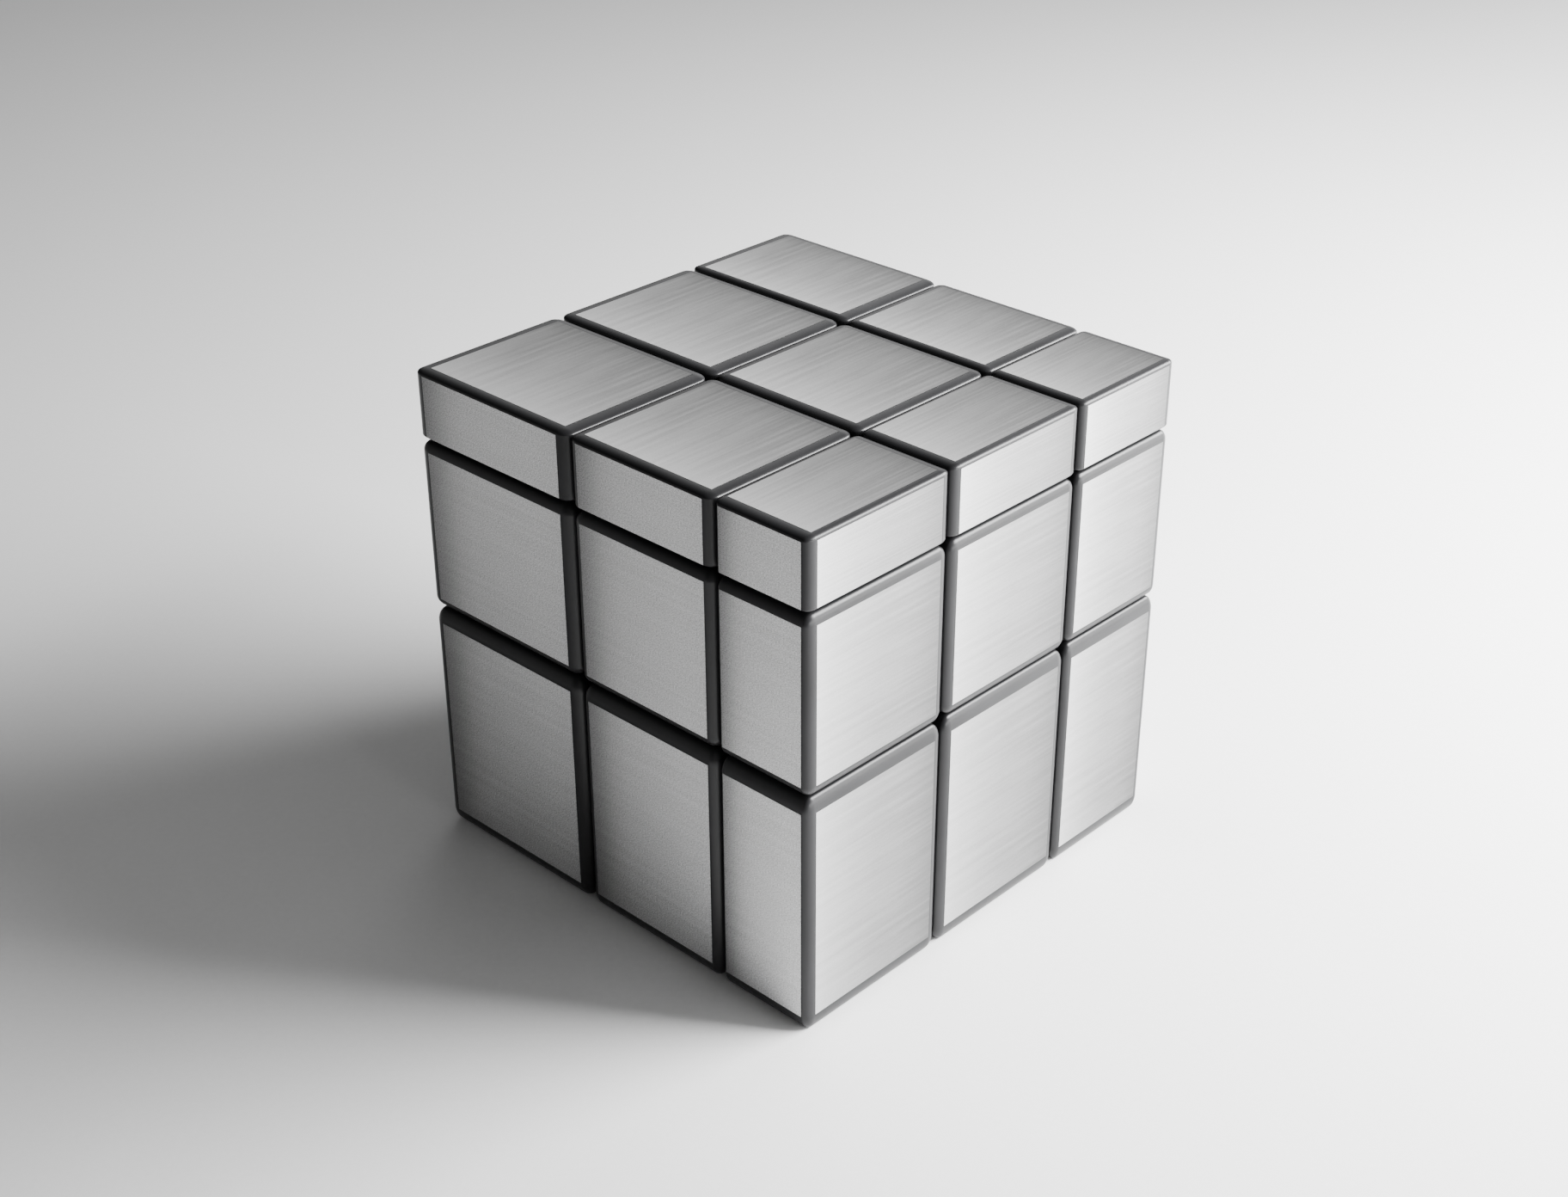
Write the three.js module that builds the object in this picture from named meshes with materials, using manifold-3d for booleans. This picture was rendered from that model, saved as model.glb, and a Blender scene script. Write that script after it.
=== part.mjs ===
// Mirror block cube: a 3 x 3 x 3 face-turning puzzle with layers of unequal thickness.
// Millimetres, +Z up. The puzzle rests on its down face, and the origin is at the middle of
// that face. The front face looks along -Y and the right face along +X.
import * as THREE from 'three';
import { ConvexGeometry } from 'three/addons/geometries/ConvexGeometry.js';
import { mergeVertices } from 'three/addons/utils/BufferGeometryUtils.js';
import Module from 'manifold-3d';

const wasm = await Module();
wasm.setup();

// ---------------------------------------------------------------- driving dimensions
const OVERALL = 57.0;                       // outer size, all three ways
const MIDDLE = 20.4;                        // thickness of each middle layer
const LAYER_RIGHT = 12.3;                   // thickness of the outer layers
const LAYER_FRONT = 20.35;
const LAYER_UP = 8.1;

const CUT = MIDDLE / 2;                     // distance of the cut planes from the core's centre
const RECESS_R = 16.2;                      // radius inside which the feet go under their neighbours
const RECESS_CUT = 7.7;                     // distance of the cut planes inside that radius
const CLEAR = 0.15;                         // clearance of each piece to a cut surface
const WALL = 1.6;                           // wall of the moulded shells
const EASE = 0.05;                          // eased edge of a block, as a share of its thickness
const ROUND_N = 32;                         // facets of the large turning surfaces

const SCREW_R = 1.4;                        // screw shank
const SCREW_TIP = 2.9;                      // distances along an arm, from the core's centre
const HEAD_R = 2.9;
const HEAD_LOW = 13.8;
const HEAD_TOP = 15.4;
const BORE_R = 1.7;                         // pilot bore in the core's arm
const BORE_LOW = 2.4;
const ARM_R = 3.4;
const HUB = 4.7;                            // half width of the core's hub
const SHELF_TOP = 9.6;                      // the spring stands on this shelf in the centre's well
const SHELF_HOLE_R = 1.8;
const WELL_R = 3.7;
const SPRING_R = 2.45;                      // mean radius of the coil
const WIRE_R = 0.3;
const SPRING_TURNS = 4;
const WASHER_LOW = 13.3;
const WASHER_TOP = 13.68;
const WASHER_R = [1.65, 2.9];
const STEM_R = 2.1;                         // stem that joins a corner's foot to its shell
const SOCKET_R = 2.45;

// ---------------------------------------------------------------- frame
// Outer faces of the puzzle, as distances from the core's centre.
const OUT = {
  right: LAYER_RIGHT + CUT,
  left: OVERALL - LAYER_RIGHT - CUT,
  front: LAYER_FRONT + CUT,
  back: OVERALL - LAYER_FRONT - CUT,
  up: LAYER_UP + CUT,
  down: OVERALL - LAYER_UP - CUT,
};
const CENTRE = [OVERALL / 2 - OUT.right, -OVERALL / 2 + OUT.front, OUT.down];
const FACES = {
  right: [0, 1], left: [0, -1], front: [1, -1], back: [1, 1], up: [2, 1], down: [2, -1],
};
const FAR = 60;                             // beyond every face

// ---------------------------------------------------------------- solids
const solid = (geometry) => {
  const g = geometry.clone();
  g.deleteAttribute('normal');
  g.deleteAttribute('uv');
  const m = mergeVertices(g, 1e-5);
  return new wasm.Manifold(new wasm.Mesh({
    numProp: 3,
    vertProperties: new Float32Array(m.attributes.position.array),
    triVerts: new Uint32Array(m.index.array),
  }));
};
const geometryOf = (manifold) => {
  const mesh = manifold.getMesh();
  const g = new THREE.BufferGeometry();
  g.setAttribute('position', new THREE.BufferAttribute(Float32Array.from(mesh.vertProperties), 3));
  g.setIndex(new THREE.BufferAttribute(Uint32Array.from(mesh.triVerts), 1));
  g.computeVertexNormals();
  return g;
};
const block = (lo, hi) => {
  const g = new THREE.BoxGeometry(hi[0] - lo[0], hi[1] - lo[1], hi[2] - lo[2]);
  g.translate((lo[0] + hi[0]) / 2, (lo[1] + hi[1]) / 2, (lo[2] + hi[2]) / 2);
  return solid(g);
};
// A block whose twelve edges are eased in proportion to its size along each axis.
const easedBlock = (lo, hi) => {
  const points = [];
  const e = [0, 1, 2].map((k) => EASE * (hi[k] - lo[k]));
  for (const sx of [0, 1]) for (const sy of [0, 1]) for (const sz of [0, 1]) {
    const s = [sx, sy, sz];
    for (let k = 0; k < 3; k++) {
      const p = s.map((v, i) => {
        const inset = i === k ? 0 : e[i];
        return v ? hi[i] - inset : lo[i] + inset;
      });
      points.push(new THREE.Vector3(...p));
    }
  }
  return solid(new ConvexGeometry(points));
};
// A round bar along an axis through the core's centre.
const bar = (axis, r, from, to, n = ROUND_N) => {
  const g = new THREE.CylinderGeometry(r, r, Math.abs(to - from), n);
  g.translate(0, (from + to) / 2, 0);
  if (axis === 0) g.rotateZ(-Math.PI / 2);
  if (axis === 2) g.rotateX(Math.PI / 2);
  return solid(g);
};
// A round bar from one point to another.
const barBetween = (a, b, r, n = 14) => {
  const va = new THREE.Vector3(...a), vb = new THREE.Vector3(...b);
  const d = vb.clone().sub(va);
  const g = new THREE.CylinderGeometry(r, r, d.length(), n);
  const q = new THREE.Quaternion().setFromUnitVectors(new THREE.Vector3(0, 1, 0), d.clone().normalize());
  g.applyQuaternion(q);
  const mid = va.add(vb).multiplyScalar(0.5);
  g.translate(mid.x, mid.y, mid.z);
  return solid(g);
};
// The space between two limits along one axis, in the direction given by sign.
const slab = (axis, sign, from, to) => {
  const lo = [-FAR, -FAR, -FAR], hi = [FAR, FAR, FAR];
  lo[axis] = sign > 0 ? from : -to;
  hi[axis] = sign > 0 ? to : -from;
  return block(lo, hi);
};
// Layers turn on surfaces of revolution about each axis: a plane at CUT outside RECESS_R, and a
// plane at RECESS_CUT inside it, joined by a cylinder. belowOuter is what a piece of the layer
// may not fill outside the recess, and aroundInner is what a piece beside the layer may not
// fill inside it.
const belowOuter = (axis, sign) => slab(axis, sign, -FAR, CUT + CLEAR)
  .subtract(bar(axis, RECESS_R - CLEAR, -FAR, FAR));
const aroundInner = (axis) => bar(axis, RECESS_R + CLEAR, -FAR, FAR)
  .subtract(slab(axis, 1, -(RECESS_CUT - CLEAR), RECESS_CUT - CLEAR));

// Extents of a piece along each axis, for the block of the puzzle that it shows.
const extents = (names, near) => {
  const lo = [-(near.side), -(near.side), -(near.side)], hi = [near.side, near.side, near.side];
  for (const name of names) {
    const [axis, sign] = FACES[name];
    const far = near.far ?? OUT[name];
    lo[axis] = sign > 0 ? near.start : -far;
    hi[axis] = sign > 0 ? far : -near.start;
  }
  return [lo, hi];
};
const SHELL = { side: CUT - CLEAR, start: CUT + CLEAR };
const point = (names, distance) => {
  const p = [0, 0, 0];
  for (const name of names) p[FACES[name][0]] = FACES[name][1] * distance;
  return p;
};

// ---------------------------------------------------------------- pieces of the blocks
const cornerShell = (names) => {
  const [lo, hi] = extents(names, SHELL);
  const hollow = block(lo.map((v) => v + WALL), hi.map((v) => v - WALL));
  return easedBlock(lo, hi).subtract(hollow)
    .subtract(barBetween(point(names, 8), point(names, CUT + WALL + 2), SOCKET_R));
};
const cornerFoot = (names) => {
  const inner = RECESS_CUT + CLEAR, outer = CUT - CLEAR;
  const [lo, hi] = extents(names, { side: 0, start: inner, far: RECESS_R });
  const [slo, shi] = extents(names, { side: 0, start: outer, far: FAR });
  const [blo, bhi] = extents(names, { side: 0, start: inner, far: FAR });
  const stem = barBetween(point(names, inner + 1), point(names, CUT + 4), STEM_R)
    .intersect(block(blo, bhi));
  let foot = block(lo, hi).subtract(block(slo, shi)).add(stem);
  for (const name of names) foot = foot.subtract(belowOuter(...FACES[name]));
  return foot;
};
const edgeBlock = (names) => {
  const cross = [0, 1, 2].find((k) => names.every((name) => FACES[name][0] !== k));
  const [lo, hi] = extents(names, SHELL);
  const [flo, fhi] = extents(names, {
    side: RECESS_CUT - CLEAR, start: RECESS_CUT + CLEAR, far: CUT + 3,
  });
  let piece = easedBlock(lo, hi).add(block(flo, fhi));
  for (const name of names) piece = piece.subtract(belowOuter(...FACES[name]));
  piece = piece.subtract(aroundInner(cross));
  const thick = bar(cross, RECESS_R + CLEAR + WALL, -FAR, FAR)
    .subtract(slab(cross, 1, -(RECESS_CUT - CLEAR - WALL), RECESS_CUT - CLEAR - WALL));
  const hollow = block(lo.map((v) => v + WALL), hi.map((v) => v - WALL)).subtract(thick);
  return piece.subtract(hollow)
    .subtract(barBetween(point(names, 6), point(names, CUT + WALL + 2), 2.0));
};

// A centre is a base on the core's arm and a cap over its well. Both are made for the up side
// and turned to their own face.
const THIN_BASE_TOP = 16.9;                 // base under the thin up cap
const BASE_TOP = 17.6;                      // base under a deep cap
const BOSS_TOP = 19.3;
const CAP_GAP = 0.25;
const centreBase = (thin) => {
  const side = CUT - CLEAR, foot = RECESS_CUT - CLEAR;
  const top = thin ? THIN_BASE_TOP : BASE_TOP;
  let piece = block([-side, -side, CUT + CLEAR], [side, side, top])
    .subtract(aroundInner(0)).subtract(aroundInner(1))
    .add(block([-foot, -foot, RECESS_CUT + CLEAR], [foot, foot, top]));
  if (!thin) {
    const b = side - WALL - CAP_GAP;
    piece = piece.add(block([-b, -b, top - 1], [b, b, BOSS_TOP]));
  }
  return piece.subtract(bar(2, WELL_R, SHELF_TOP, FAR, 16))
    .subtract(bar(2, SHELF_HOLE_R, 0, FAR, 12));
};
const centreCap = (name) => {
  const side = CUT - CLEAR, top = OUT[name], thin = name === 'up';
  const bottom = (thin ? THIN_BASE_TOP : BASE_TOP) + CAP_GAP;
  let piece = easedBlock([-side, -side, CUT + CLEAR], [side, side, top])
    .subtract(slab(2, 1, -FAR, bottom));
  if (thin) {
    const skirt = bar(2, WELL_R - 0.3, HEAD_TOP + 0.5, bottom + 0.3, 20)
      .subtract(bar(2, WELL_R - 1.1, 0, bottom, 20));
    return piece.add(skirt);
  }
  const b = side - WALL;
  return piece.subtract(block([-b, -b, 0], [b, b, top - WALL]));
};

// ---------------------------------------------------------------- pieces on the core's arms
const screw = () => {
  const profile = [
    [0, SCREW_TIP], [0.9, SCREW_TIP], [SCREW_R, SCREW_TIP + 1.2], [SCREW_R, HEAD_LOW],
    [HEAD_R, HEAD_LOW], [HEAD_R, HEAD_TOP - 0.45], [HEAD_R - 0.5, HEAD_TOP], [0, HEAD_TOP],
  ].map(([r, z]) => new THREE.Vector2(r, z));
  const g = new THREE.LatheGeometry(profile, 16);
  g.rotateX(Math.PI / 2);
  return solid(g)
    .subtract(block([-1.7, -0.35, HEAD_TOP - 0.9], [1.7, 0.35, HEAD_TOP + 1]))
    .subtract(block([-0.35, -1.7, HEAD_TOP - 0.9], [0.35, 1.7, HEAD_TOP + 1]));
};
const washer = () => {
  const profile = [
    [WASHER_R[0], WASHER_LOW], [WASHER_R[1], WASHER_LOW], [WASHER_R[1], WASHER_TOP],
    [WASHER_R[0], WASHER_TOP], [WASHER_R[0], WASHER_LOW],
  ].map(([r, z]) => new THREE.Vector2(r, z));
  const g = new THREE.LatheGeometry(profile, 16);
  g.rotateX(Math.PI / 2);
  return solid(g);
};
class Coil extends THREE.Curve {
  getPoint(t, target = new THREE.Vector3()) {
    const a = t * SPRING_TURNS * 2 * Math.PI;
    const low = SHELF_TOP + 0.15 + WIRE_R, high = WASHER_LOW - 0.15 - WIRE_R;
    return target.set(SPRING_R * Math.cos(a), SPRING_R * Math.sin(a), low + (high - low) * t);
  }
}
const spring = () => {
  const section = new THREE.Shape();
  for (let i = 0; i < 5; i++) {
    const a = (i / 5) * 2 * Math.PI;
    if (i) section.lineTo(WIRE_R * Math.cos(a), WIRE_R * Math.sin(a));
    else section.moveTo(WIRE_R, 0);
  }
  section.closePath();
  return solid(new THREE.ExtrudeGeometry(section, {
    steps: SPRING_TURNS * 10, bevelEnabled: false, extrudePath: new Coil(),
  }));
};
const core = () => {
  let piece = easedBlock([-HUB, -HUB, -HUB], [HUB, HUB, HUB]);
  for (const axis of [0, 1, 2]) {
    piece = piece.add(bar(axis, ARM_R, -(RECESS_CUT - CLEAR), RECESS_CUT - CLEAR, 16));
  }
  for (const axis of [0, 1, 2]) {
    piece = piece.subtract(bar(axis, BORE_R, BORE_LOW, 9, 12))
      .subtract(bar(axis, BORE_R, -9, -BORE_LOW, 12));
  }
  return piece;
};

// ---------------------------------------------------------------- materials
const blackPlastic = new THREE.MeshStandardMaterial({ color: 0x17181a, roughness: 0.34, metalness: 0 });
const footPlastic = new THREE.MeshStandardMaterial({ color: 0x1c1d20, roughness: 0.5, metalness: 0 });
const corePlastic = new THREE.MeshStandardMaterial({ color: 0x26272a, roughness: 0.55, metalness: 0 });
const steel = new THREE.MeshStandardMaterial({ color: 0xb9bbbe, roughness: 0.3, metalness: 1 });

// ---------------------------------------------------------------- assembly
const group = new THREE.Group();
group.position.set(...CENTRE);
const place = (name, manifold, material, turn = null) => {
  const mesh = new THREE.Mesh(geometryOf(manifold), material);
  mesh.name = name;
  if (turn) mesh.quaternion.copy(turn);
  group.add(mesh);
};

place('core', core(), corePlastic);
for (const [name, [axis, sign]] of Object.entries(FACES)) {
  const out = new THREE.Vector3();
  out.setComponent(axis, sign);
  const turn = new THREE.Quaternion().setFromUnitVectors(new THREE.Vector3(0, 0, 1), out);
  place(`screw_${name}`, screw(), steel, turn);
  place(`spring_${name}`, spring(), steel, turn);
  place(`washer_${name}`, washer(), steel, turn);
  place(`centre_${name}`, centreBase(name === 'up'), footPlastic, turn);
  place(`centre_cap_${name}`, centreCap(name), blackPlastic, turn);
}
const EDGES = [
  ['up', 'front'], ['up', 'back'], ['up', 'right'], ['up', 'left'],
  ['down', 'front'], ['down', 'back'], ['down', 'right'], ['down', 'left'],
  ['front', 'right'], ['front', 'left'], ['back', 'right'], ['back', 'left'],
];
for (const names of EDGES) place(`edge_${names.join('_')}`, edgeBlock(names), blackPlastic);
for (const v of ['up', 'down']) for (const f of ['front', 'back']) for (const s of ['right', 'left']) {
  const names = [v, f, s];
  place(`corner_${names.join('_')}`, cornerShell(names), blackPlastic);
  place(`corner_foot_${names.join('_')}`, cornerFoot(names), footPlastic);
}

export default group;
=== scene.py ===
"""Mirror block cube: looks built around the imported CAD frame. Metres, +Z up."""

import math

import bmesh
import bpy
from mathutils import Matrix, Vector


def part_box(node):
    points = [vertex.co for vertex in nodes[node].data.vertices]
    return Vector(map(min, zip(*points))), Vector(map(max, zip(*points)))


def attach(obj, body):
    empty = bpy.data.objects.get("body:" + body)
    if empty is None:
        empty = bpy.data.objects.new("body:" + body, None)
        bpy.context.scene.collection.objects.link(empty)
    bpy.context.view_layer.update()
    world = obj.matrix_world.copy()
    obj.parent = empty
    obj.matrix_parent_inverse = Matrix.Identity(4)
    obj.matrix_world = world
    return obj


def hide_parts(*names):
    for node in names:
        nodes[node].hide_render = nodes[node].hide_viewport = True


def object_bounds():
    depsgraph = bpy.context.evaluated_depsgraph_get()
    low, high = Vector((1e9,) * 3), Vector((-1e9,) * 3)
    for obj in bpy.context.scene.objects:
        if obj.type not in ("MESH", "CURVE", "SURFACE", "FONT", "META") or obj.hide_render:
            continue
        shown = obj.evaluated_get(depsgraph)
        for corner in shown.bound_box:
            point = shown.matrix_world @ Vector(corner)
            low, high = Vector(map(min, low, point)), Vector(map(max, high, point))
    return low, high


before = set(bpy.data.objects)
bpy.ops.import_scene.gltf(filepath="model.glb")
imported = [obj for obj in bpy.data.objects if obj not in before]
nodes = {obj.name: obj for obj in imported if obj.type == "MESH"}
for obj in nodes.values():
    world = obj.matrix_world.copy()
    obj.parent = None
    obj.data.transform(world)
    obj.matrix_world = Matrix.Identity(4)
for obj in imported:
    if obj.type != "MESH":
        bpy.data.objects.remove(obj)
CAD_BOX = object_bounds()
MM = 0.001

# ------------------------------------------------------------------ frame facts
FACES = {
    "right": (0, 1), "left": (0, -1), "front": (1, -1),
    "back": (1, 1), "up": (2, 1), "down": (2, -1),
}
core_lo, core_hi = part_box("core")
CENTRE = (core_lo + core_hi) / 2
OUT = {}
for name, (axis, sign) in FACES.items():
    lo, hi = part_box("centre_cap_" + name)
    OUT[name] = (hi if sign > 0 else lo)[axis]
side_lo, side_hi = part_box("centre_cap_up")
SIDE = (side_hi.x - side_lo.x) / 2                  # half width of a middle block
START = None                                        # where an outer layer's blocks begin
c_lo, c_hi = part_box("corner_up_back_right")
START = c_lo.z - CENTRE.z
MARGIN = 0.064                                      # plate margin, share of block thickness
FILLET = 0.060                                      # fillet, share of block thickness
WALL = 1.6 * MM
RECESS_R = 16.35 * MM
RECESS_SIDE = 7.55 * MM
PLATE_PROUD = 0.02 * MM
PLATE_SUNK = 0.12 * MM


def collection_link(obj):
    bpy.context.scene.collection.objects.link(obj)
    return obj


def mesh_object(name, bm, material=None, smooth=True):
    me = bpy.data.meshes.new(name)
    bm.to_mesh(me)
    bm.free()
    if smooth:
        me.shade_smooth()
    if material is not None:
        me.materials.append(material)
    return collection_link(bpy.data.objects.new(name, me))


# ------------------------------------------------------------------ materials
def new_material(name):
    m = bpy.data.materials.new(name)
    m.use_nodes = True
    nt = m.node_tree
    return m, nt, nt.nodes["Principled BSDF"]


def add(nt, kind, **values):
    n = nt.nodes.new(kind)
    for k, v in values.items():
        if hasattr(n, k):
            setattr(n, k, v)
        else:
            n.inputs[k].default_value = v
    return n


def ramp(nt, factor, stops):
    r = nt.nodes.new("ShaderNodeValToRGB")
    els = r.color_ramp.elements
    while len(els) < len(stops):
        els.new(0.5)
    for e, (p, v) in zip(els, stops):
        e.position = p
        e.color = (v, v, v, 1) if not isinstance(v, tuple) else (*v, 1)
    nt.links.new(factor, r.inputs[0])
    return r


def plastic(name, colour, rough, bump=0.02, scale=900.0, spec=0.5, tint=0.25):
    """Moulded plastic: fine mould texture, faint flow variation and a slightly uneven gloss."""
    m, nt, b = new_material(name)
    co = add(nt, "ShaderNodeTexCoord")
    fine = add(nt, "ShaderNodeTexNoise", Scale=scale * 3, Detail=4.0)
    broad = add(nt, "ShaderNodeTexNoise", Scale=scale * 0.10, Detail=3.0)
    nt.links.new(co.outputs["Object"], fine.inputs["Vector"])
    nt.links.new(co.outputs["Object"], broad.inputs["Vector"])
    c = ramp(nt, broad.outputs["Fac"], [
        (0.3, tuple(x * (1 - tint) for x in colour)), (0.7, tuple(x * (1 + tint) for x in colour))])
    nt.links.new(c.outputs["Color"], b.inputs["Base Color"])
    r = add(nt, "ShaderNodeMapRange")
    r.inputs["To Min"].default_value = rough - 0.05
    r.inputs["To Max"].default_value = rough + 0.06
    mix = add(nt, "ShaderNodeMath", operation="MULTIPLY_ADD")
    nt.links.new(fine.outputs["Fac"], mix.inputs[0])
    mix.inputs[1].default_value = 0.45
    half = add(nt, "ShaderNodeMath", operation="MULTIPLY")
    half.inputs[1].default_value = 0.55
    nt.links.new(broad.outputs["Fac"], half.inputs[0])
    nt.links.new(half.outputs[0], mix.inputs[2])
    nt.links.new(mix.outputs[0], r.inputs["Value"])
    nt.links.new(r.outputs["Result"], b.inputs["Roughness"])
    bu = add(nt, "ShaderNodeBump", Strength=bump, Distance=0.00005)
    nt.links.new(fine.outputs["Fac"], bu.inputs["Height"])
    nt.links.new(bu.outputs["Normal"], b.inputs["Normal"])
    b.inputs["Specular IOR Level"].default_value = spec
    return m


def steel(name, colour, rough):
    """Turned steel: fine noise in colour and roughness for tool marks."""
    m, nt, b = new_material(name)
    co = add(nt, "ShaderNodeTexCoord")
    n = add(nt, "ShaderNodeTexNoise", Scale=2600.0, Detail=3.0)
    nt.links.new(co.outputs["Object"], n.inputs["Vector"])
    c = ramp(nt, n.outputs["Fac"], [(0.3, colour * 0.85), (0.7, colour)])
    nt.links.new(c.outputs["Color"], b.inputs["Base Color"])
    r = add(nt, "ShaderNodeMapRange")
    r.inputs["To Min"].default_value = rough - 0.06
    r.inputs["To Max"].default_value = rough + 0.08
    nt.links.new(n.outputs["Fac"], r.inputs["Value"])
    nt.links.new(r.outputs["Result"], b.inputs["Roughness"])
    b.inputs["Metallic"].default_value = 1.0
    return m


def brushed(name, painted_sheen, rough, stroke, speckle):
    """Brushed silver plate. U runs along the grain and V across it, both 0..1 over the plate, so
    that the grain is stretched with each plate; the second map holds them in millimetres. The
    ramp given after the name is a painted sheen: painted reflection in the base colour along the stroke.
    stroke gives the contrast of the strokes at its start and end, and speckle the strength of the fine grain."""
    m, nt, b = new_material(name)
    link = nt.links.new
    uv = add(nt, "ShaderNodeUVMap", uv_map="plate")
    mm = add(nt, "ShaderNodeUVMap", uv_map="plate_mm")

    def streaks(along, across, detail, source=uv, offset=0.0):
        mp = add(nt, "ShaderNodeMapping")
        mp.inputs["Scale"].default_value = (along, across, 1)
        mp.inputs["Location"].default_value = (offset, offset * 1.7, 0)
        link(source.outputs["UV"], mp.inputs["Vector"])
        n = add(nt, "ShaderNodeTexNoise", Detail=detail, Scale=1.0)
        n.noise_dimensions = "2D"
        link(mp.outputs["Vector"], n.inputs["Vector"])
        return n.outputs["Fac"]

    def math(op, a, c, d=None):
        n = add(nt, "ShaderNodeMath", operation=op)
        for i, x in enumerate((a, c, d)):
            if x is None:
                continue
            if isinstance(x, (int, float)):
                n.inputs[i].default_value = x
            else:
                link(x, n.inputs[i])
        return n.outputs[0]

    long = streaks(0.9, 34.0, 3.0, offset=3.1)          # strokes as long as the plate
    short = streaks(3.2, 70.0, 2.0, offset=7.7)         # broken strokes between them
    broad = streaks(0.7, 5.0, 2.0, offset=1.3)          # bands of strokes
    hair = streaks(1.6, 22.0, 2.0, source=mm, offset=5.0)
    mix = math("MULTIPLY_ADD", long, 0.42, math("MULTIPLY_ADD", short, 0.20, math(
        "MULTIPLY_ADD", broad, 0.16, math("MULTIPLY", hair, 0.22))))
    sep = add(nt, "ShaderNodeSeparateXYZ")
    link(uv.outputs["UV"], sep.inputs[0])
    # painted sheen: the base colour falls along the stroke as a painted reflection
    base = ramp(nt, sep.outputs["X"], painted_sheen)
    depth = math("MULTIPLY_ADD", sep.outputs["X"], stroke[1] - stroke[0], stroke[0])
    grit = streaks(5.0, 11.0, 1.0, source=mm, offset=2.0)
    tone = math("MULTIPLY_ADD", math("SUBTRACT", mix, 0.5), depth, math(
        "MULTIPLY_ADD", math("SUBTRACT", grit, 0.5), speckle, 1.0))
    scale = add(nt, "ShaderNodeVectorMath", operation="SCALE")
    link(base.outputs["Color"], scale.inputs[0])
    link(tone, scale.inputs["Scale"])
    link(scale.outputs["Vector"], b.inputs["Base Color"])
    r = add(nt, "ShaderNodeMapRange")
    r.inputs["From Min"].default_value = 0.3
    r.inputs["From Max"].default_value = 0.7
    r.inputs["To Min"].default_value = rough[1]
    r.inputs["To Max"].default_value = rough[0]
    link(mix, r.inputs["Value"])
    link(r.outputs["Result"], b.inputs["Roughness"])
    bu = add(nt, "ShaderNodeBump", Strength=0.10, Distance=0.00002)
    link(mix, bu.inputs["Height"])
    link(bu.outputs["Normal"], b.inputs["Normal"])
    b.inputs["Metallic"].default_value = 1.0
    b.inputs["Anisotropic"].default_value = 0.55
    t = add(nt, "ShaderNodeTangent", direction_type="UV_MAP", uv_map="plate_mm")
    link(t.outputs["Tangent"], b.inputs["Tangent"])
    return m


# painted sheen along the stroke, a painted reflection in the base colour: it falls away on the plates brushed along
# Y, and it is even on the front and back plates, apart from painted shade at the end where the stroke starts
PAINTED_SHEEN_Y = [(0.0, 0.58), (0.12, 0.48), (0.30, 0.385), (0.50, 0.31), (0.70, 0.265), (0.85, 0.215), (1.0, 0.155)]
PAINTED_SHEEN_Z = [(0.0, 0.92), (0.12, 0.78), (0.30, 0.63), (0.50, 0.50), (0.70, 0.42), (0.85, 0.34), (1.0, 0.22)]
PAINTED_SHEEN_X = [(0.0, 0.26), (0.08, 0.35), (0.20, 0.51), (0.32, 0.595), (0.50, 0.63), (0.80, 0.65), (1.0, 0.62)]

BLACK = plastic("black_plastic", (0.014, 0.014, 0.015), 0.33, spec=0.27)
FOOT = plastic("foot_plastic", (0.022, 0.022, 0.024), 0.46, bump=0.04)
CORE = plastic("core_plastic", (0.045, 0.046, 0.05), 0.5, bump=0.05)
STEEL = steel("steel", 0.68, 0.28)
SPRING = steel("spring_steel", 0.55, 0.33)
# three copies of one brushed plate with painted light per side: the top plates' painted sheen is lighter and the
# left and right plates' darker, set for how the light falls on each side
PLATE_Y = brushed("brushed_plate", PAINTED_SHEEN_Y, (0.36, 0.46), (0.44, 1.15), 0.20)
PLATE_Z = brushed("brushed_plate_z", PAINTED_SHEEN_Z, (0.31, 0.41), (0.24, 1.20), 0.20)
PLATE_X = brushed("brushed_plate_x", PAINTED_SHEEN_X, (0.48, 0.58), (0.30, 0.45), 1.15)

# ------------------------------------------------------------------ blocks
SEG = 7


def rounded_block(lo, hi, fillet=FILLET, seg=SEG):
    """A block whose fillets are in proportion to its size along each axis."""
    r = fillet
    flat = 0.5 - r
    stops = [flat + r * math.tan(math.radians(45 * i / seg)) for i in range(seg + 1)]
    line = [-s for s in reversed(stops)] + stops
    bm = bmesh.new()
    found = {}
    size = hi - lo
    mid = (lo + hi) / 2

    def vert(p):
        inner = Vector([max(-flat, min(flat, x)) for x in p])
        d = p - inner
        q = inner + d.normalized() * r if d.length > 1e-12 else p
        q = Vector([q[k] * size[k] + mid[k] for k in range(3)])
        key = tuple(round(x * 1e8) for x in q)
        if key not in found:
            found[key] = bm.verts.new(q)
        return found[key]

    n = len(line)
    for axis in range(3):
        a, b = (axis + 1) % 3, (axis + 2) % 3
        for sign in (-1, 1):
            grid = []
            for i in range(n):
                row = []
                for j in range(n):
                    p = Vector((0, 0, 0))
                    p[axis] = 0.5 * sign
                    p[a], p[b] = line[i], line[j]
                    row.append(vert(p))
                grid.append(row)
            for i in range(n - 1):
                for j in range(n - 1):
                    q = [grid[i][j], grid[i + 1][j], grid[i + 1][j + 1], grid[i][j + 1]]
                    if sign < 0:
                        q.reverse()
                    if len(set(q)) >= 3:
                        bm.faces.new(list(dict.fromkeys(q)))
    return bm


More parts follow.
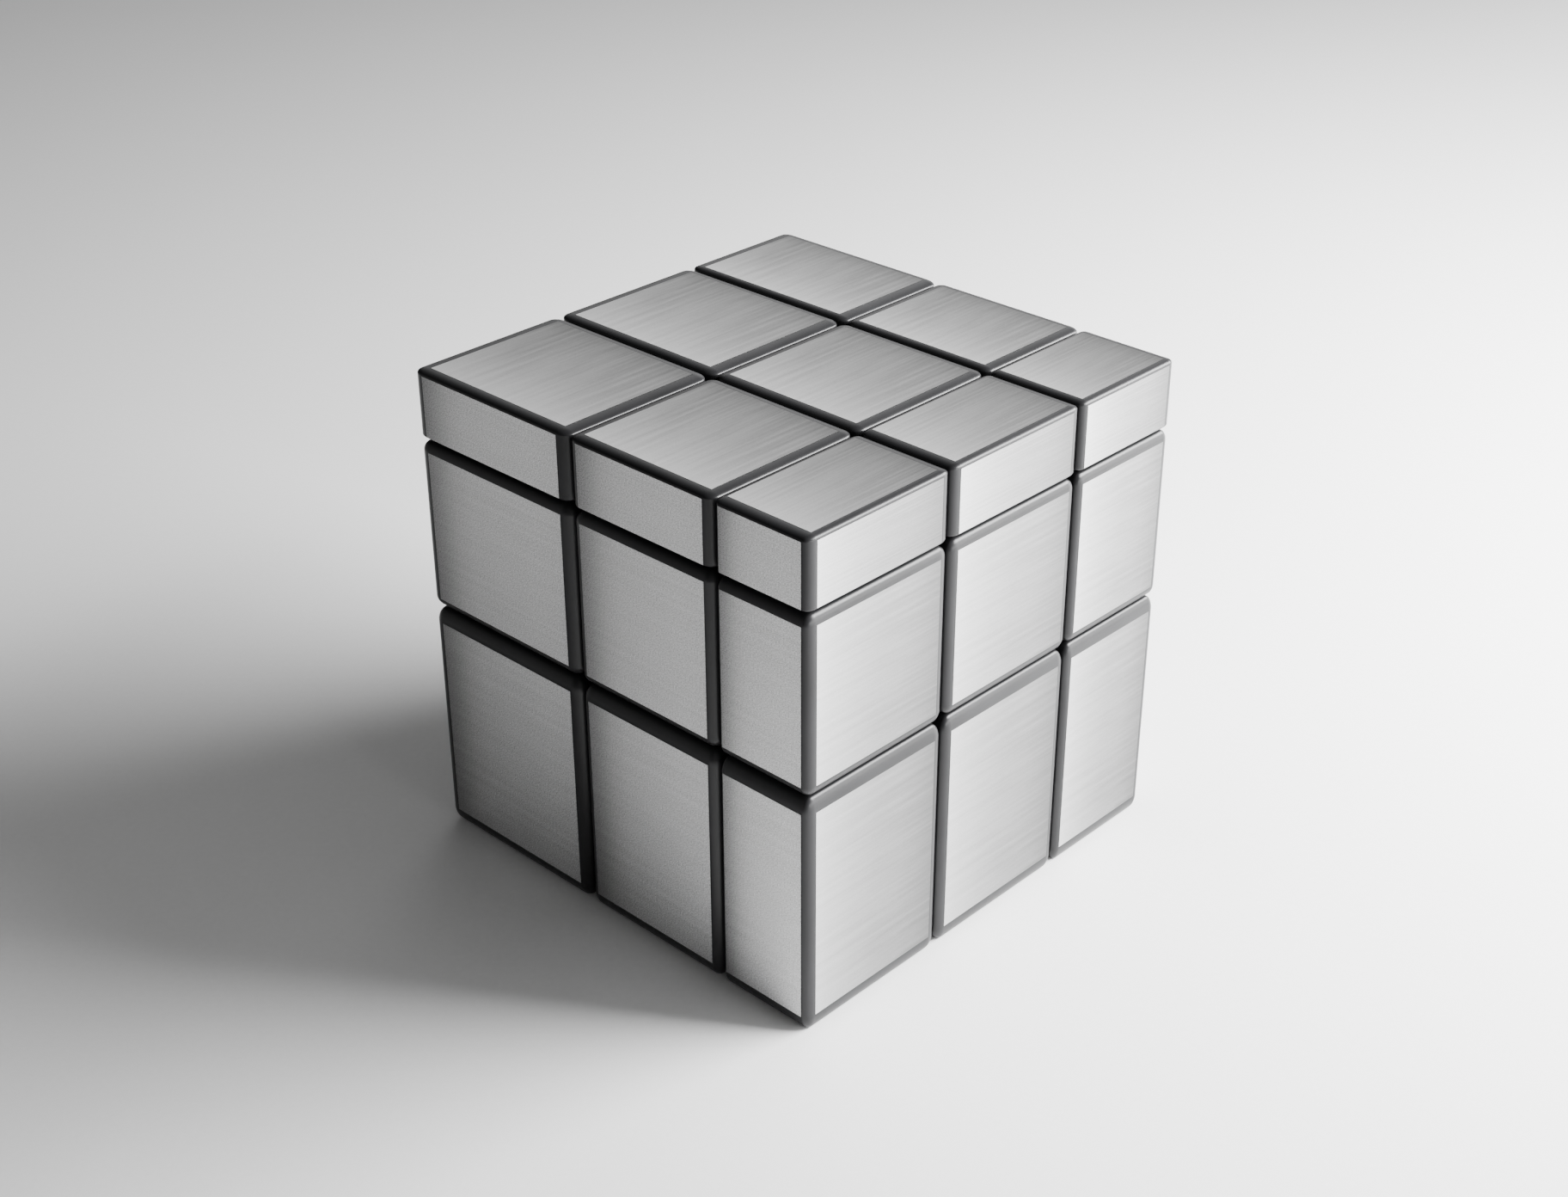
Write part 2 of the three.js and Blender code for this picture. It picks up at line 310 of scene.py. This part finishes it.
def box_into(bm, lo, hi):
    v = [bm.verts.new((x, y, z)) for x in (lo[0], hi[0]) for y in (lo[1], hi[1]) for z in (lo[2], hi[2])]
    for f in ((0, 1, 3, 2), (4, 6, 7, 5), (0, 4, 5, 1), (2, 3, 7, 6), (0, 2, 6, 4), (1, 5, 7, 3)):
        bm.faces.new([v[i] for i in f])


def bar_into(bm, a, b, r, n=40):
    a, b = Vector(a), Vector(b)
    q = (b - a).to_track_quat("Z", "Y")
    rings = [[bm.verts.new(p + q @ Vector((r * math.cos(2 * math.pi * i / n), r * math.sin(2 * math.pi * i / n), 0)))
              for i in range(n)] for p in (a, b)]
    bm.faces.new(list(reversed(rings[0])))
    bm.faces.new(rings[1])
    for i in range(n):
        j = (i + 1) % n
        bm.faces.new([rings[0][i], rings[0][j], rings[1][j], rings[1][i]])


def boolean(obj, cutters, operation="DIFFERENCE"):
    """Applies each cutter mesh in turn."""
    for i, bm in enumerate(cutters):
        cut = mesh_object("cutter", bm, smooth=False)
        mod = obj.modifiers.new("cut", "BOOLEAN")
        mod.operation = operation
        mod.solver = "EXACT"
        mod.object = cut
        bpy.context.view_layer.update()
        dg = bpy.context.evaluated_depsgraph_get()
        me = bpy.data.meshes.new_from_object(obj.evaluated_get(dg))
        obj.modifiers.clear()
        old = obj.data
        mats = list(old.materials)
        obj.data = me
        me.materials.clear()
        for m in mats:
            me.materials.append(m)
        bpy.data.meshes.remove(old)
        bpy.data.objects.remove(cut)
    return obj


def finish_shading(obj, angle=32.0):
    """Smooth shading with sharp creases and flats kept flat."""
    me = obj.data
    bm = bmesh.new()
    bm.from_mesh(me)
    bmesh.ops.remove_doubles(bm, verts=bm.verts, dist=1e-8)
    for e in bm.edges:
        e.smooth = not (len(e.link_faces) == 2 and e.calc_face_angle(0) > math.radians(angle))
    for f in bm.faces:
        f.smooth = True
        f.material_index = 0
    bm.to_mesh(me)
    bm.free()
    mod = obj.modifiers.new("weighted", "WEIGHTED_NORMAL")
    mod.keep_sharp = True
    mod.weight = 100
    return obj


def extents(names, side, start, far=None):
    lo = CENTRE - Vector((side,) * 3)
    hi = CENTRE + Vector((side,) * 3)
    for name in names:
        axis, sign = FACES[name]
        end = OUT[name] if far is None else CENTRE[axis] + sign * far
        if sign > 0:
            lo[axis], hi[axis] = CENTRE[axis] + start, end
        else:
            lo[axis], hi[axis] = end, CENTRE[axis] - start
    return lo, hi


def direction(names):
    d = Vector((0, 0, 0))
    for name in names:
        d[FACES[name][0]] = FACES[name][1]
    return d


def shell(name, names, body, node, cuts):
    lo, hi = extents(names, SIDE, START)
    obj = mesh_object(name, rounded_block(lo, hi), BLACK)
    boolean(obj, cuts)
    finish_shading(obj)
    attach(obj, body)
    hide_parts(node)
    return obj


GRAIN = {0: 1, 1: 0, 2: 1}                          # axis of the grain on faces normal to x, y, z


def plates(block_name, names, body):
    """A thin brushed plate on each outer face of a block."""
    lo, hi = extents(names, SIDE, START)
    gap = START - SIDE
    full = [hi[k] - lo[k] + gap for k in range(3)]
    for name in names:
        axis, sign = FACES[name]
        g = GRAIN[axis]
        w = 3 - axis - g
        inset_g, inset_w = MARGIN * full[g], MARGIN * full[w]
        g0, g1 = lo[g] - gap / 2 + inset_g, hi[g] + gap / 2 - inset_g
        w0, w1 = lo[w] - gap / 2 + inset_w, hi[w] + gap / 2 - inset_w
        for_outer = {}
        for n2 in names:
            a2, s2 = FACES[n2]
            for_outer[a2] = s2
        # on an outer side there is no gap: the margin counts from the real face
        if g in for_outer:
            if for_outer[g] > 0:
                g1 -= gap / 2
            else:
                g0 += gap / 2
        if w in for_outer:
            if for_outer[w] > 0:
                w1 -= gap / 2
            else:
                w0 += gap / 2
        surface = OUT[name]
        base = surface - sign * PLATE_SUNK
        top = surface + sign * PLATE_PROUD
        bm = bmesh.new()
        rings = []
        for height in (base, top):
            ring = []
            for gg, ww in ((g0, w0), (g1, w0), (g1, w1), (g0, w1)):
                p = Vector((0, 0, 0))
                p[axis], p[g], p[w] = height, gg, ww
                ring.append(bm.verts.new(p))
            rings.append(ring)
        for r0, r1 in zip(rings, rings[1:]):
            for i in range(4):
                j = (i + 1) % 4
                bm.faces.new([r0[i], r0[j], r1[j], r1[i]])
        bm.faces.new(rings[-1])
        bm.faces.new(list(reversed(rings[0])))
        bmesh.ops.recalc_face_normals(bm, faces=bm.faces)
        uv = bm.loops.layers.uv.new("plate")
        mm = bm.loops.layers.uv.new("plate_mm")
        for f in bm.faces:
            for l in f.loops:
                p = l.vert.co
                u, v = (p[g] - g0), (p[w] - w0)
                l[uv].uv = (u / (g1 - g0), v / (w1 - w0))
                l[mm].uv = (u / MM, v / MM)
        obj = mesh_object(f"plate_{block_name}_{name}", bm, (PLATE_Y, PLATE_X, PLATE_Z)[axis], smooth=False)
        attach(obj, body)


def cutter(build):
    bm = bmesh.new()
    build(bm)
    return bm


EDGES = [n for n in nodes if n.startswith("edge_")]
CORNERS = [n for n in nodes if n.startswith("corner_") and not n.startswith("corner_foot_")]

for name in CORNERS:
    names = name.split("_")[1:]
    lo, hi = extents(names, SIDE, START)
    d = direction(names)
    shell(name + "_shell", names, name, name, [
        cutter(lambda bm: box_into(bm, lo + Vector((WALL,) * 3), hi - Vector((WALL,) * 3))),
        cutter(lambda bm: bar_into(bm, CENTRE + d * 8 * MM, CENTRE + d * (START + WALL + 1.5 * MM), 2.45 * MM)),
    ])
    plates(name, names, name)
    nodes[name.replace("corner_", "corner_foot_")].data.materials.clear()
    nodes[name.replace("corner_", "corner_foot_")].data.materials.append(FOOT)

for name in EDGES:
    names = name.split("_")[1:]
    lo, hi = extents(names, SIDE, START)
    d = direction(names)
    cross = [k for k in range(3) if all(FACES[n][0] != k for n in names)][0]

    def recess(bm):
        for s in (-1, 1):
            a, b = CENTRE.copy(), CENTRE.copy()
            a[cross] += s * RECESS_SIDE
            b[cross] += s * 14 * MM
            bar_into(bm, a, b, RECESS_R, 64)

    def hollow(bm):
        h_lo, h_hi = lo + Vector((WALL,) * 3), hi - Vector((WALL,) * 3)
        h_lo[cross], h_hi[cross] = CENTRE[cross] - 5.9 * MM, CENTRE[cross] + 5.9 * MM
        box_into(bm, h_lo, h_hi)

    shell(name + "_shell", names, name, name, [
        cutter(recess), cutter(hollow),
        cutter(lambda bm: bar_into(bm, CENTRE + d * 6 * MM, CENTRE + d * (START + WALL + 1.5 * MM), 2.0 * MM)),
    ])
    # the foot: the part of the CAD block under the shell
    bm = bmesh.new()
    bm.from_mesh(nodes[name].data)
    bmesh.ops.remove_doubles(bm, verts=bm.verts, dist=1e-7)
    foot = mesh_object(name + "_foot", bm, FOOT, smooth=False)
    out_lo, out_hi = extents(names, 13 * MM, START - 0.02 * MM, far=50 * MM)
    boolean(foot, [cutter(lambda bm: box_into(bm, out_lo, out_hi))])
    finish_shading(foot, 25)
    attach(foot, name)
    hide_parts(name)
    plates(name, names, name)

for name, (axis, sign) in FACES.items():
    node = "centre_cap_" + name
    body = name + "_centre"
    lo, hi = extents([name], SIDE, START)
    cap_lo, cap_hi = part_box(node)
    thin = name == "up"
    low = (17.15 * MM) if thin else (17.85 * MM)     # where the cap meets its base

    def below(bm, lo=lo, hi=hi):
        a, b = lo - Vector((2 * MM,) * 3), hi + Vector((2 * MM,) * 3)
        if sign > 0:
            b[axis] = CENTRE[axis] + low
        else:
            a[axis] = CENTRE[axis] - low
        box_into(bm, a, b)

    def hollow(bm, lo=lo, hi=hi):
        w = Vector((WALL,) * 3)
        a, b = lo + w, hi - w
        if sign > 0:
            a[axis] = CENTRE[axis] + low - 1 * MM
        else:
            b[axis] = CENTRE[axis] - low + 1 * MM
        box_into(bm, a, b)

    cuts = [cutter(below)]
    if not thin:
        cuts.append(cutter(hollow))
    shell(node + "_shell", [name], body, node, cuts)
    plates("centre_cap_" + name, [name], body)
    for n, m in (("centre_", FOOT), ("screw_", STEEL), ("spring_", SPRING), ("washer_", STEEL)):
        nodes[n + name].data.materials.clear()
        nodes[n + name].data.materials.append(m)

nodes["core"].data.materials.clear()
nodes["core"].data.materials.append(CORE)

# ------------------------------------------------------------------ floor
bm = bmesh.new()
N = 24
R = 2.2
grid = [[bm.verts.new((-R + 2 * R * i / N, -R + 2 * R * j / N, 0)) for j in range(N + 1)] for i in range(N + 1)]
for i in range(N):
    for j in range(N):
        bm.faces.new([grid[i][j], grid[i + 1][j], grid[i + 1][j + 1], grid[i][j + 1]])
floor_mat, nt, b = new_material("floor_paper")
co = add(nt, "ShaderNodeTexCoord")
n = add(nt, "ShaderNodeTexNoise", Scale=1400.0, Detail=5.0)
nt.links.new(co.outputs["Object"], n.inputs["Vector"])
c = ramp(nt, n.outputs["Fac"], [(0.3, 0.78), (0.7, 0.80)])
nt.links.new(c.outputs["Color"], b.inputs["Base Color"])
b.inputs["Roughness"].default_value = 0.75
b.inputs["Specular IOR Level"].default_value = 0.2
floor = mesh_object("floor", bm, floor_mat, smooth=False)

# ------------------------------------------------------------------ camera
F_PX, AZ, EL, DIST = 2663.4, math.radians(43.4128), math.radians(29.0993), 0.2553985
ROLL, PAN, TILT = math.radians(-0.0622), math.radians(-0.2801), math.radians(-0.0142)
TARGET = Vector(((CAD_BOX[0][0] + CAD_BOX[1][0]) / 2, (CAD_BOX[0][1] + CAD_BOX[1][1]) / 2,
                 (CAD_BOX[0][2] + CAD_BOX[1][2]) / 2))
back = Vector((math.sin(AZ) * math.cos(EL), -math.cos(AZ) * math.cos(EL), math.sin(EL)))
right = Vector((math.cos(AZ), math.sin(AZ), 0))
up = back.cross(right)
base = Matrix((right, up, back))                    # rows: camera axes in the world
turn = Matrix.Rotation(-ROLL, 3, "Z") @ Matrix.Rotation(TILT, 3, "X") @ Matrix.Rotation(PAN, 3, "Y")
rot = (turn @ base).transposed()
cam_data = bpy.data.cameras.new("camera")
cam_data.sensor_width = 36
cam_data.lens = F_PX * 36 / 1824
cam_data.clip_start = 0.01
cam_data.clip_end = 20
cam = collection_link(bpy.data.objects.new("camera", cam_data))
cam.matrix_world = Matrix.Translation(TARGET + back * DIST) @ rot.to_4x4()
bpy.context.scene.camera = cam


# ------------------------------------------------------------------ light
def area(name, place, aim, size_x, size_y, power, colour=(1, 1, 1)):
    data = bpy.data.lights.new(name, "AREA")
    data.shape = "RECTANGLE"
    data.size, data.size_y = size_x, size_y
    data.energy = power
    data.color = colour
    o = collection_link(bpy.data.objects.new(name, data))
    o.location = Vector(place)
    o.rotation_euler = (Vector(aim) - Vector(place)).to_track_quat("-Z", "Y").to_euler()
    return o


area("key", (0.130, 0.174, 0.155), (-0.009, 0.120, 0.0), 0.241, 0.091, 4.56)
area("strip", (0.188, 0.216, 0.055), (0.010, 0.095, 0.0), 0.734, 0.076, 2.70)

world = bpy.data.worlds.new("studio")
bpy.context.scene.world = world
world.use_nodes = True
wt = world.node_tree
bg = wt.nodes["Background"]
co = add(wt, "ShaderNodeTexCoord")


def glow(towards, stops):
    """Light from around one direction, as a ramp over the cosine of the angle to it."""
    dot = add(wt, "ShaderNodeVectorMath", operation="DOT_PRODUCT")
    dot.inputs[1].default_value = Vector(towards).normalized()
    wt.links.new(co.outputs["Generated"], dot.inputs[0])
    return ramp(wt, dot.outputs["Value"], stops).outputs["Color"]


# the pale sweep behind the object and the lit side of the room, dim overhead
behind = glow((-0.52, 0.78, 0.36), [(0.0, 0.015), (0.82, 0.03), (0.945, 0.75), (1.0, 1.8)])
beside = glow((-0.70, -0.66, -0.02), [(0.0, 0.0), (0.70, 0.0), (0.90, 0.30), (1.0, 0.50)])
room = glow((0.88, -0.42, 0.25), [(0.0, 0.0), (0.50, 0.0), (0.80, 0.20), (1.0, 0.36)])
total = behind
for part in (beside, room):
    both = add(wt, "ShaderNodeVectorMath", operation="ADD")
    wt.links.new(total, both.inputs[0])
    wt.links.new(part, both.inputs[1])
    total = both.outputs["Vector"]
wt.links.new(total, bg.inputs["Color"])
bg.inputs["Strength"].default_value = 1.0
